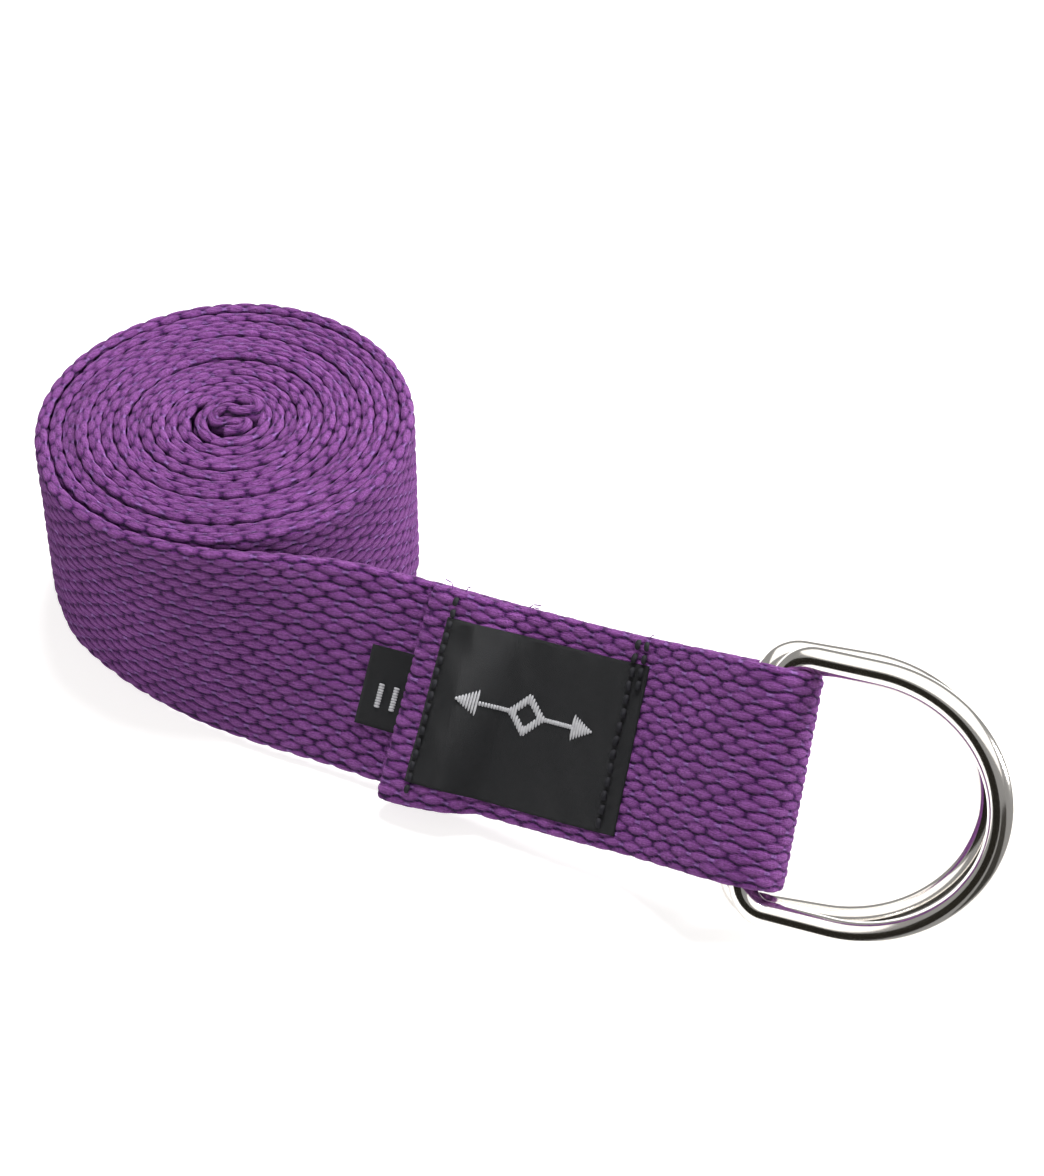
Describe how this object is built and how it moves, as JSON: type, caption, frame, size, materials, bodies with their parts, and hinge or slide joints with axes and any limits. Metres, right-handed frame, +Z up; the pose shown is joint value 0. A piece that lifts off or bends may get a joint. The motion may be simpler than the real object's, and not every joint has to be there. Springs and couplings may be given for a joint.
{
  "type": "stretching strap",
  "caption": "Flat woven exercise strap rolled up on its edge; the end that lies out is sewn into a labelled loop that holds metal D-rings.",
  "frame": {"origin": "on the floor, under the middle of the strap's box", "axes": "+Z up, the strap rolled about +Z and standing on its edge; +X from the roll towards the D-rings; -Y the side that the label faces"},
  "size_m": [0.1734, 0.1426, 0.0468],
  "materials": {
    "webbing": "coarse woven purple cotton",
    "label": "black satin weave",
    "black_thread": "twisted black thread",
    "purple_thread": "twisted purple thread",
    "nickel": "polished nickel plate"
  },
  "bodies": {
    "roll": {"webbing_roll": "webbing", "webbing_run": "webbing", "free_end_stitch": "purple_thread"},
    "tail": {"webbing_loop": "webbing", "main_label": "label", "size_tab": "label", "label_stitch_left": "black_thread", "label_stitch_right": "black_thread"},
    "front_ring": {"d_ring_front": "nickel"},
    "rear_ring": {"d_ring_rear": "nickel"}
  },
  "joints": [
    {"name": "tail_swing", "type": "hinge", "parent": "roll", "child": "tail", "pos_m": [-0.03207, -0.00872, 0.019], "axis": [0, 0, 1], "range_deg": [-45, 20], "deforming": ["webbing_run"]},
    {"name": "front_ring_turn", "type": "hinge", "parent": "tail", "child": "front_ring", "pos_m": [0.0446, -0.0439, 0.02519], "axis": [-0.1868, -0.6533, -0.7337], "range_deg": [0, 140]},
    {"name": "rear_ring_turn", "type": "hinge", "parent": "tail", "child": "rear_ring", "pos_m": [0.04289, -0.04007, 0.02222], "axis": [0.1868, 0.6533, 0.7337], "range_deg": [0, 130]}
  ]
}
